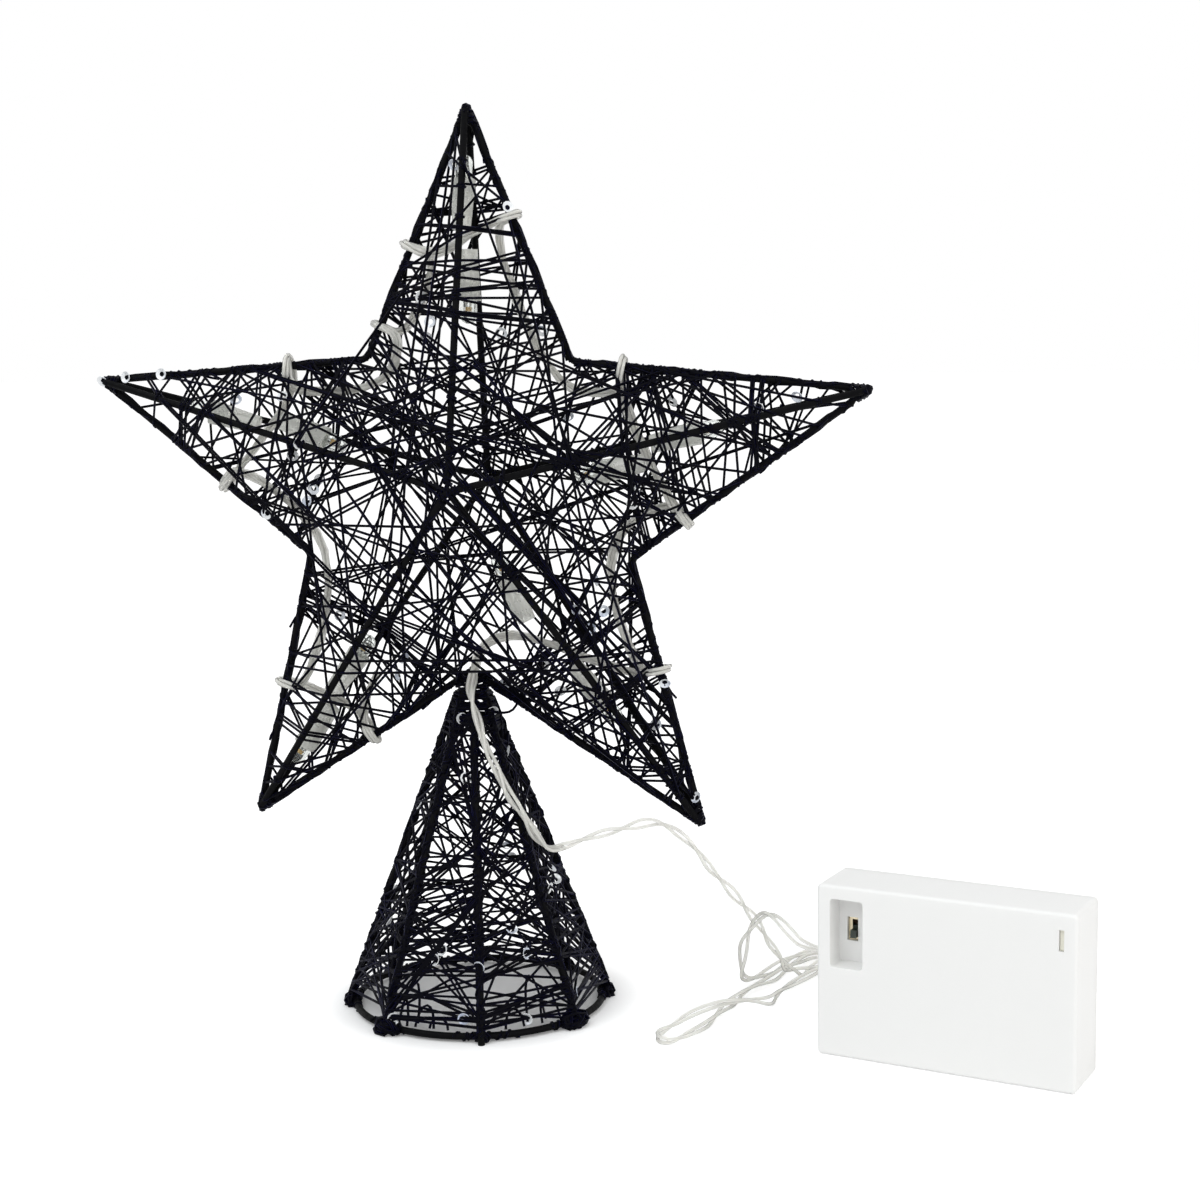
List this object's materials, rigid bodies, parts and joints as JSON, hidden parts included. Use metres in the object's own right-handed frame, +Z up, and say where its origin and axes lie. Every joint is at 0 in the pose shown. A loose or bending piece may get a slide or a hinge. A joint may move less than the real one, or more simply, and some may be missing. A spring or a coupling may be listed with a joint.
{
  "type": "christmas tree topper star",
  "caption": "Black wire star on a tree-tip cone, wound with thread and sequins, laced with a string of lights on a clear lead to a white battery box.",
  "frame": {"origin": "middle of the cone's open mouth, on the plane of the rib feet", "axes": "+Z up along the cone to the star's top arm, the star faces -Y, +X to its right towards the battery box"},
  "size_m": [0.2839, 0.1136, 0.2595],
  "materials": {
    "frame_wire": "black lacquered wire",
    "thread": "black two-ply thread with a slight sheen",
    "sequin": "clear iridescent film",
    "clear_wire": "clear insulation",
    "light_sleeve": "clear moulded plastic",
    "light_lens": "clear lens",
    "light_chip": "yellow phosphor in a small cup",
    "box_plastic": "white moulded, lightly textured",
    "switch_metal": "plated sheet",
    "switch_board": "brown board with pins",
    "knob_plastic": "dark moulded",
    "cell": "plain wrapped cell",
    "contact_metal": "plated strip",
    "core_insulation": "thin insulated wire"
  },
  "bodies": {
    "star": {"star_outline_wire": "frame_wire", "front_left_cross_wire": "frame_wire", "front_right_cross_wire": "frame_wire", "front_top_wire": "frame_wire", "back_left_cross_wire": "frame_wire", "back_right_cross_wire": "frame_wire", "back_top_wire": "frame_wire", "cone_base_ring": "frame_wire", "cone_neck_ring": "frame_wire", "cone_long_ribs": "frame_wire", "cone_short_ribs": "frame_wire", "neck_binding": "thread", "thread_net_top_arm": "thread", "thread_net_right_arm": "thread", "thread_net_lower_right_arm": "thread", "thread_net_lower_left_arm": "thread", "thread_net_left_arm": "thread", "thread_net_cone": "thread", "sequins": "sequin", "light_string": "clear_wire", "lead_bundle": "clear_wire", "lead_cord": "clear_wire", "cord_hank": "clear_wire", "box_cord": "clear_wire", "light_sleeves": "light_sleeve", "light_lenses": "light_lens", "light_chips": "light_chip", "battery_case": "box_plastic", "switch_can": "switch_metal", "switch_base": "switch_board", "battery_cells": "cell", "contact_plates": "contact_metal", "contact_leaves": "contact_metal", "core_wires": "core_insulation"},
    "knob": {"switch_knob": "knob_plastic"},
    "cover": {"battery_cover": "box_plastic"}
  },
  "joints": [
    {"name": "knob_slide", "type": "slide", "parent": "star", "child": "knob", "axis": [0, 0, 1], "range_m": [0, 0.0024]},
    {"name": "cover_lift", "type": "slide", "parent": "star", "child": "cover", "axis": [0.3338, 0.9426, 0], "range_m": [0, 0.03]}
  ]
}
